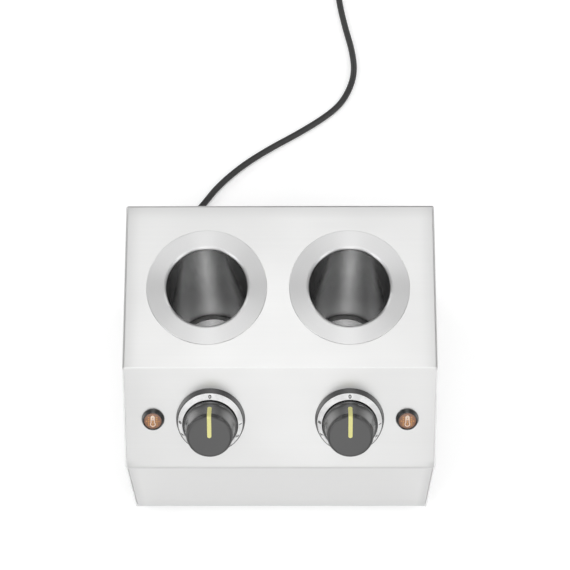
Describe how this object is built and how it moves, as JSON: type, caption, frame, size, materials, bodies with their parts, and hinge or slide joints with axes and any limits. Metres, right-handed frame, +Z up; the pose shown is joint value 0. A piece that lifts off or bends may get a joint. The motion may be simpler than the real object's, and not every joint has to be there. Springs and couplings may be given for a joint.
{
  "type": "hot fudge topping warmer",
  "caption": "Countertop topping warmer with deep round bottle wells in a sheet steel cabinet, each with a thermostat knob and an amber lamp on a slanted panel.",
  "frame": {"origin": "on the table, midway between the cabinet's sides and midway from the knobs' lower edges to the back wall", "axes": "+X to the right of someone in front of the knobs, +Y to the back, +Z up"},
  "size_m": [0.28, 0.6872, 0.2246],
  "materials": {
    "cabinet_steel": "satin stainless sheet, brushed",
    "well_steel": "spun stainless, brushed round",
    "knob_plastic": "fine matt moulded thermoset",
    "bezel_plastic": "semi-gloss moulded",
    "dial_silver": "satin silver with dark numerals",
    "pointer_yellow": "pale yellow",
    "lens_amber": "faceted translucent amber",
    "cord_rubber": "matt black sheath",
    "plug_plastic": "moulded black",
    "foot_rubber": "matt",
    "zinc_steel": "zinc plated",
    "nickel_brass": "nickel plated",
    "heater_metal": "plain sheet over mica",
    "fibre": "ceramic fibre",
    "thermostat_body": "off-white ceramic and steel",
    "copper_bulb": "bare copper",
    "inner_plastic": "moulded",
    "wire_silicone": "silicone insulation"
  },
  "bodies": {
    "cabinet": {"housing_wrap": "cabinet_steel", "side_panel_left": "cabinet_steel", "side_panel_right": "cabinet_steel", "front_panel": "cabinet_steel", "base_plate": "zinc_steel", "base_screws": "zinc_steel", "foot_front_left": "foot_rubber", "foot_front_right": "foot_rubber", "foot_back_left": "foot_rubber", "foot_back_right": "foot_rubber", "foot_screws": "zinc_steel", "heater_screws": "zinc_steel", "thermostat_screws": "zinc_steel", "lamp_nuts": "inner_plastic", "terminal_block": "inner_plastic", "earth_stud": "nickel_brass", "inner_cord": "cord_rubber", "gland_nut": "plug_plastic", "cord_strain_relief": "plug_plastic", "power_cord": "cord_rubber", "cord_coil": "cord_rubber", "power_plug": "plug_plastic", "plug_pins": "nickel_brass", "plug_earth_contacts": "nickel_brass", "well_left": "well_steel", "well_right": "well_steel", "well_clamp_left": "zinc_steel", "well_clamp_right": "zinc_steel", "heater_band_left": "heater_metal", "heater_band_right": "heater_metal", "insulation_left": "fibre", "insulation_right": "fibre", "overheat_cutout_left": "thermostat_body", "overheat_cutout_right": "thermostat_body", "sensor_left": "copper_bulb", "sensor_right": "copper_bulb", "thermostat_left": "thermostat_body", "thermostat_right": "thermostat_body", "knob_bezel_left": "bezel_plastic", "knob_bezel_right": "bezel_plastic", "dial_ring_left": "dial_silver", "dial_ring_right": "dial_silver", "lamp_bezel_left": "bezel_plastic", "lamp_bezel_right": "bezel_plastic", "lamp_lens_left": "lens_amber", "lamp_lens_right": "lens_amber", "lamp_body_left": "inner_plastic", "lamp_body_right": "inner_plastic", "wiring_left": "wire_silicone", "wiring_right": "wire_silicone"},
    "knob_turner_left": {"knob_left": "knob_plastic", "pointer_left": "pointer_yellow", "shaft_left": "zinc_steel"},
    "knob_turner_right": {"knob_right": "knob_plastic", "pointer_right": "pointer_yellow", "shaft_right": "zinc_steel"}
  },
  "joints": [
    {"name": "knob_turn_left", "type": "hinge", "parent": "cabinet", "child": "knob_turner_left", "pos_m": [-0.0621, -0.07717, 0.18565], "axis": [0, 0.682, -0.7313], "range_deg": [0, 268]},
    {"name": "knob_turn_right", "type": "hinge", "parent": "cabinet", "child": "knob_turner_right", "pos_m": [0.0621, -0.07717, 0.18565], "axis": [0, 0.682, -0.7313], "range_deg": [0, 268]}
  ]
}
